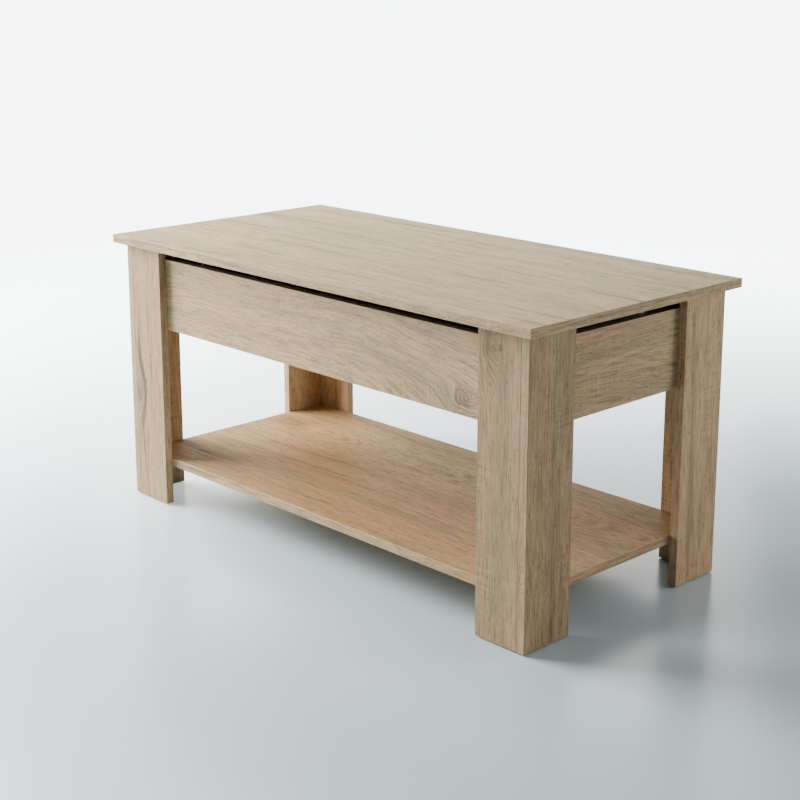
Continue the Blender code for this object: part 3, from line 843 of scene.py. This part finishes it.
def ease_edges(obj, width):
    """Rounds the edges of a stamped piece."""
    modifier = obj.modifiers.new("Eased edges", "BEVEL")
    modifier.width = width
    modifier.segments = 2
    modifier.limit_method = "ANGLE"
    modifier.angle_limit = SHARP


def through(holes, thickness):
    """Cutters for round holes along X through a plate, from their (y, z) middles and radii."""
    start = -thickness / 2 - OVERSHOOT
    run = (thickness + 2 * OVERSHOOT, 0, 0)
    return [rod(radius + GAP, (start, y, z), run) for (y, z), radius in holes]


def flat(point, start):
    """The (y, z) of a point, seen from a (y, z) start."""
    return Vector((point.y, point.z)) - Vector(start)


def make_arms(hand, side, black):
    """Flat arms with drilled ends. The rear one has a lug for the spring's stud."""
    inner, outer = span(f"{hand}_front_arm")
    thickness = outer - inner
    for name in ("front", "rear"):
        pivot = middle(f"{hand}_{name}_lower_pin")
        start = (pivot.y, pivot.z)
        reach = flat(middle(f"{hand}_{name}_upper_pin"), start)
        outline = arm_outline(reach.length, ARM_WIDTH / 2, math.atan2(reach.y, reach.x))
        holes = [((0, 0), PIN_RADIUS), (reach, PIN_RADIUS)]
        if name == "rear":
            lug = flat(middle(f"{hand}_spring_stud"), start)
            outline = united(outline, arm_outline(lug.length, LUG_RADIUS, math.atan2(lug.y, lug.x)))
            holes.append((lug, STUD_RADIUS))
        arm = piece(
            f"{hand}_{name}_flat_arm",
            cut_out(prism(outline, thickness), through(holes, thickness)),
            black,
            f"{hand}_{name}_arm",
            (side * (inner + outer) / 2, *start),
            stands_for=(f"{hand}_{name}_arm",),
        )
        ease_edges(arm, ARM_EASE)


def make_base_plate(hand, side, black):
    """The stamped plate inside the end apron, drilled for its pins, stop and screws."""
    inner, outer = span(f"{hand}_base_plate")
    at = middle(f"{hand}_base_plate")
    start = (at.y, at.z)
    corners = [Vector(corner) - Vector(start) for corner in BASE_PLATE]
    holes = [(flat(middle(f"{hand}_{end}_lower_pin"), start), PIN_RADIUS) for end in ENDS]
    holes.append((flat(middle(f"{hand}_stop_pin"), start), STOP_RADIUS))
    holes += [(flat(middle(f"{hand}_base_screw_{end}"), start), SCREW_RADIUS) for end in ENDS]
    outline = softened(corners, SHEET_CORNER, closed=True, steps=8)
    plate = piece(
        f"{hand}_stamped_plate",
        cut_out(prism(outline, outer - inner), through(holes, outer - inner)),
        black,
        "root",
        (side * (inner + outer) / 2, *start),
        stands_for=(f"{hand}_base_plate",),
    )
    ease_edges(plate, SHEET_EASE)


def angle_bar(outline, side, wide):
    """A flange with an open outline, whose ends are its top corners, and a sheet this wide at its top."""
    bm = bmesh.new()
    near = side * SHEET / 2
    far = near - side * wide
    outer = [bm.verts.new((near, y, z)) for y, z in outline]
    inner = [bm.verts.new((-near, y, z)) for y, z in outline[1:-1]]
    left, right = outline[0].x, outline[-1].x
    under_left, under_right = (bm.verts.new((-near, y, -SHEET)) for y in (left, right))
    low_left, low_right = (bm.verts.new((far, y, -SHEET)) for y in (left, right))
    top_left, top_right = (bm.verts.new((far, y, 0)) for y in (left, right))
    bm.faces.new(outer)
    bm.faces.new((under_left, *inner, under_right))
    for i in range(len(inner) - 1):
        bm.faces.new((outer[i + 1], outer[i + 2], inner[i + 1], inner[i]))
    bm.faces.new((outer[0], top_left, low_left, under_left, inner[0], outer[1]))
    bm.faces.new((outer[-1], outer[-2], inner[-1], under_right, low_right, top_right))
    bm.faces.new((outer[0], outer[-1], top_right, top_left))
    bm.faces.new((under_left, low_left, low_right, under_right))
    bm.faces.new((top_left, top_right, low_right, low_left))
    bmesh.ops.recalc_face_normals(bm, faces=bm.faces)
    return bm


def make_rail(hand, side, black):
    """The steel angle under the top: a flange with an ear for the pivots, and one for screws."""
    low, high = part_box(f"{hand}_top_rail")
    outer = span(f"{hand}_top_rail")[1]
    start = ((low.y + high.y) / 2, high.z)
    corners = [
        (low.y, high.z),
        (low.y, RAIL_EDGE),
        (RAIL_EAR - RAIL_SLOPE, RAIL_EDGE),
        (RAIL_EAR, low.z),
        (high.y, low.z),
        (high.y, high.z),
    ]
    # The outline is open, so its two ends stay square and the flange meets the sheet all along.
    outline = softened([Vector(corner) - Vector(start) for corner in corners], SHEET_CORNER, steps=8)
    holes = [(flat(middle(f"{hand}_{end}_upper_pin"), start), PIN_RADIUS) for end in ENDS]
    cutters = through(holes, SHEET)
    for end in ENDS:
        screw = middle(f"{hand}_rail_screw_{end}")
        bottom = (screw.x - side * (outer - SHEET / 2), screw.y - start[0], -SHEET - OVERSHOOT)
        cutters.append(rod(SCREW_RADIUS + GAP, bottom, (0, 0, SHEET + 2 * OVERSHOOT)))
    rail = piece(
        f"{hand}_steel_angle",
        cut_out(angle_bar(outline, side, high.x - low.x), cutters),
        black,
        "top",
        (side * (outer - SHEET / 2), *start),
        stands_for=(f"{hand}_top_rail",),
    )
    ease_edges(rail, SHEET_EASE)


def make_washers(hand, side, nylon):
    """Nylon washers that keep the arms off the base plate and off the top rail."""
    arm_inner, arm_outer = span(f"{hand}_front_arm")
    base_inner = span(f"{hand}_base_plate")[0]
    rail_outer = span(f"{hand}_top_rail")[1]
    turn = (0, 0, 0 if side > 0 else math.pi)
    for level, body, near, far in (
        ("lower", "root", arm_outer, base_inner),
        ("upper", "top", rail_outer, arm_inner),
    ):
        ring = tube(WASHER_RADIUS, PIN_RADIUS + 0.00015, far - near - 2 * WASHER_PLAY)
        mesh = bpy.data.meshes.new("washer")
        ring.to_mesh(mesh)
        ring.free()
        for end in ENDS:
            at = middle(f"{hand}_{end}_{level}_pin")
            place = (side * (near + WASHER_PLAY), at.y, at.z)
            piece(f"{hand}_{end}_{level}_washer", mesh, nylon, body, place, turn)


def screw_mesh():
    """A pan-head wood screw with a cross recess. Its shank points along +X from x = 0."""
    dome = [math.radians(15 * i) for i in range(7)]
    side_wall = SCREW_HEAD * 0.30
    rise = SCREW_HEAD - side_wall
    profile = [(-side_wall - rise * math.cos(a), SCREW_HEAD_RADIUS * math.sin(a)) for a in dome[1:]]
    profile += [(0.0, SCREW_HEAD_RADIUS), (0.0, SCREW_RADIUS)]
    threads = 7
    pitch = (SCREW_REACH - 0.003) / threads
    for i in range(threads):
        profile.append((0.001 + pitch * i, SCREW_RADIUS * 0.72))
        profile.append((0.001 + pitch * (i + 0.5), SCREW_RADIUS))
    profile.append((SCREW_REACH, SCREW_RADIUS / 5))
    half = 0.00050
    arm = 0.0022
    cross = (
        (arm, -half),
        (arm, half),
        (half, half),
        (half, arm),
        (-half, arm),
        (-half, half),
        (-arm, half),
        (-arm, -half),
        (-half, -half),
        (-half, -arm),
        (half, -arm),
        (half, -half),
    )
    cut = recess(cross, -SCREW_HEAD - OVERSHOOT, -SCREW_HEAD * 0.35, 0.4)
    return cut_out(lathe(profile), [cut])


def make_screws(hand, side, mesh, zinc):
    """The screws through the base plate and through the top rail share one mesh."""
    facing = (0, 0, 0 if side > 0 else math.pi)
    up = (0, math.radians(-90), 0)
    for end in ENDS:
        for level, body, turn in (("base", "root", facing), ("rail", "top", up)):
            name = f"{hand}_{level}_screw_{end}"
            low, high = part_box(name)
            at = (low + high) / 2
            if level == "base":
                at.x = side * (span(name)[0] + SCREW_HEAD)
            else:
                at.z = low.z + SCREW_HEAD
            piece(f"{name}_cross_head", mesh, zinc, body, at, turn, (name,))


def make_leg_bolts(zinc):
    """Socket-head bolts inside the compartment, which hold the aprons to the leg boards."""
    dome = [math.radians(15 * i) for i in range(2, 7)]
    profile = [(-BOLT_RIM - BOLT_DOME * math.cos(a), BOLT_HEAD_RADIUS * math.sin(a)) for a in dome]
    shank = [(LEG_BOLT_LONG - 0.0005, BOLT_RADIUS), (LEG_BOLT_LONG, BOLT_RADIUS * 0.8)]
    profile += [(0.0, BOLT_HEAD_RADIUS), (0.0, BOLT_RADIUS), *shank]
    corners = [along(math.radians(60 * i), SOCKET_RADIUS) for i in range(6)]
    socket = recess(corners, -0.004, -BOLT_RIM)
    mesh = cut_out(lathe(profile), [socket])
    for depth, side, corner in CORNERS:
        face_x = side * middle_x(f"{corner}_leg_face_board")
        apron_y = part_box("rear_apron")[0].y
        apron_x = span("right_apron")[0]
        end_y = depth * LEG_BOLT_Y
        for level, z in (("lower", LEG_BOLT_Z[0]), ("upper", LEG_BOLT_Z[1])):
            turn = (0, 0, math.radians(90 * depth))
            place = (face_x, depth * apron_y, z)
            piece(f"{corner}_face_bolt_{level}", mesh, zinc, "root", place, turn)
            turn = (0, 0, 0 if side > 0 else math.pi)
            place = (side * apron_x, end_y, z)
            piece(f"{corner}_end_bolt_{level}", mesh, zinc, "root", place, turn)


def make_pads(nylon, rubber):
    """The glides nailed under the legs, and the bumpers on top of them."""
    up = (0, math.radians(-90), 0)
    for _, _, corner in CORNERS:
        for kind in ("end", "face"):
            name = f"{corner}_{kind}_glide"
            low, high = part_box(name)
            radius = (high.x - low.x) / 2
            tall = high.z - low.z
            profile = [
                (0.0, 0.0),
                (0.0, radius - 0.0012),
                (0.0005, radius),
                (GLIDE, radius),
                (GLIDE, NAIL_RADIUS),
                (tall - NAIL_RADIUS, NAIL_RADIUS),
                (tall, NAIL_RADIUS / 5),
            ]
            bm = lathe(softened(profile, 0.0005, steps=4)[1:])
            place = ((low.x + high.x) / 2, (low.y + high.y) / 2, low.z)
            piece(f"{name}_moulded", bm, nylon, "root", place, up, (name,))
        name = f"{corner}_bumper"
        low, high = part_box(name)
        radius = (high.x - low.x) / 2
        tall = high.z - low.z
        profile = [(0.0, 0.0), (0.0, radius), (tall * 0.8, radius), (tall, radius * 0.75), (tall, 0.0)]
        bm = lathe(softened(profile, 0.0006, steps=5)[1:-1])
        place = ((low.x + high.x) / 2, (low.y + high.y) / 2, low.z)
        piece(f"{name}_moulded", bm, rubber, "root", place, up, (name,))


def make_hardware():
    black = coated_steel()
    zinc = plated_steel()
    wire = mottled(
        "spring_wire", (150, 152, 156), (120, 121, 124), 220.0, (0.20, 0.36), 0.00001, 3000.0, Metallic=1.0
    )
    nylon = mottled("nylon", (64, 56, 48), (52, 45, 38), 120.0, (0.34, 0.46), 0.00002, 1800.0)
    black_nylon = mottled("black_nylon", (30, 30, 31), (22, 22, 23), 150.0, (0.30, 0.42), 0.00002, 1500.0)
    rubber = mottled("rubber", (88, 86, 82), (70, 68, 66), 300.0, (0.55, 0.72), 0.00003, 2500.0)
    screw = screw_mesh()
    for side, hand in SIDES:
        make_base_plate(hand, side, black)
        make_rail(hand, side, black)
        make_arms(hand, side, black)
        make_pins(hand, side, zinc)
        make_spring(hand, side, wire)
        make_washers(hand, side, black_nylon)
        make_screws(hand, side, screw, zinc)
    make_leg_bolts(zinc)
    make_pads(nylon, rubber)


# ---------------------------------------------------------------- stage

LENS = 70.28
SHIFT_Y = -0.10
CAMERA_AT = (1.8869, -1.8081, 0.9976)
YAW = -0.8099
PITCH = 0.2316
SWEEP_CENTRE = (0.50, 0.0, 0.0)
SWEEP_REACH = (0.55, 3.0)
FLOOR_HALF = 40.0
FLOOR_GAP = 0.0002
AMBIENT = 0.20
BACKDROP = 7.0


def make_camera():
    camera = bpy.data.cameras.new("camera")
    camera.lens = LENS
    camera.sensor_width = 36.0
    camera.shift_y = SHIFT_Y
    obj = bpy.data.objects.new("camera", camera)
    obj.location = CAMERA_AT
    obj.rotation_euler = (math.pi / 2 - PITCH, 0.0, -YAW)
    bpy.context.scene.collection.objects.link(obj)
    bpy.context.scene.camera = obj


def area_light(name, place, target, size, power, colour):
    light = bpy.data.lights.new(name, "AREA")
    light.shape = "RECTANGLE"
    light.size, light.size_y = size
    light.energy = power
    light.color = colour
    obj = bpy.data.objects.new(name, light)
    obj.location = place
    obj.rotation_euler = (Vector(target) - Vector(place)).to_track_quat("-Z", "Y").to_euler()
    obj.visible_camera = False
    bpy.context.scene.collection.objects.link(obj)


def make_floor():
    """A pale satin floor that runs off in every direction."""
    bm = bmesh.new()
    bmesh.ops.create_grid(bm, x_segments=1, y_segments=1, size=FLOOR_HALF)
    mesh = bpy.data.meshes.new("floor")
    bm.to_mesh(mesh)
    bm.free()
    floor = bpy.data.objects.new("floor", mesh)
    floor.location.z = -FLOOR_GAP
    bpy.context.scene.collection.objects.link(floor)
    made, tree, shader = new_material("floor", Specular_IOR_Level=0.55)
    where = node(tree, "ShaderNodeTexCoord").outputs["Object"]
    cloud = noise(tree, where, scale=1.3, detail=2.0)
    colour = mixed(tree, cloud, srgb(194, 212, 221), srgb(201, 218, 226))
    connect(tree, shader, colour, calc(tree, "MULTIPLY_ADD", cloud, 0.06, 0.22))
    # Far from the table the floor turns into a white backdrop, which lights nothing.
    off = vector_calc(tree, "SUBTRACT", where, SWEEP_CENTRE)
    away = node(tree, "ShaderNodeVectorMath", {0: off}, operation="LENGTH").outputs["Value"]
    seen = node(tree, "ShaderNodeLightPath").outputs["Is Camera Ray"]
    glow = calc(tree, "MULTIPLY", remap(tree, away, *SWEEP_REACH, 0.0, BACKDROP), seen)
    tree.links.new(glow, shader.inputs["Emission Strength"])
    shader.inputs["Emission Color"].default_value = (0.94, 0.98, 1.0, 1.0)
    # From below the floor is clear, so the underside can be looked at.
    from_below = node(tree, "ShaderNodeNewGeometry").outputs["Backfacing"]
    clear = node(tree, "ShaderNodeBsdfTransparent").outputs[0]
    sides = node(tree, "ShaderNodeMixShader", {0: from_below, 1: shader.outputs[0], 2: clear})
    tree.links.new(sides.outputs[0], tree.nodes["Material Output"].inputs["Surface"])
    mesh.materials.append(made)


def make_lights():
    """Soft daylight from the left, and a little from above and from the right."""
    area_light("window", (-1.95, -0.75, 1.20), (0.1, 0, 0.2), (1.9, 1.5), 240.0, (1.0, 0.985, 0.96))
    area_light("window_rear", (-1.9, 1.9, 1.4), (0, 0, 0.3), (2.4, 1.6), 45.0, (0.98, 1.0, 0.94))
    area_light("ceiling", (-0.3, -0.5, 2.6), (0, 0, 0), (2.0, 2.0), 6.0, (1.0, 0.99, 0.97))
    area_light("bounce", (1.6, 1.25, 0.75), (0.45, 0.1, 0.3), (0.9, 0.8), 15.0, (1.0, 0.98, 0.95))


def make_world():
    """A faint cool room light. The camera sees it as a white backdrop."""
    world = bpy.data.worlds.new("room")
    world.use_nodes = True
    tree = world.node_tree
    background = tree.nodes["Background"]
    background.inputs["Color"].default_value = (0.88, 0.94, 1.0, 1.0)
    seen = node(tree, "ShaderNodeLightPath").outputs["Is Camera Ray"]
    strength = remap(tree, seen, 0.0, 1.0, AMBIENT, BACKDROP, smooth=False)
    tree.links.new(strength, background.inputs["Strength"])
    bpy.context.scene.world = world


make_camera()
make_floor()
make_lights()
make_world()
dress_boards()
make_hardware()

bpy.context.view_layer.update()
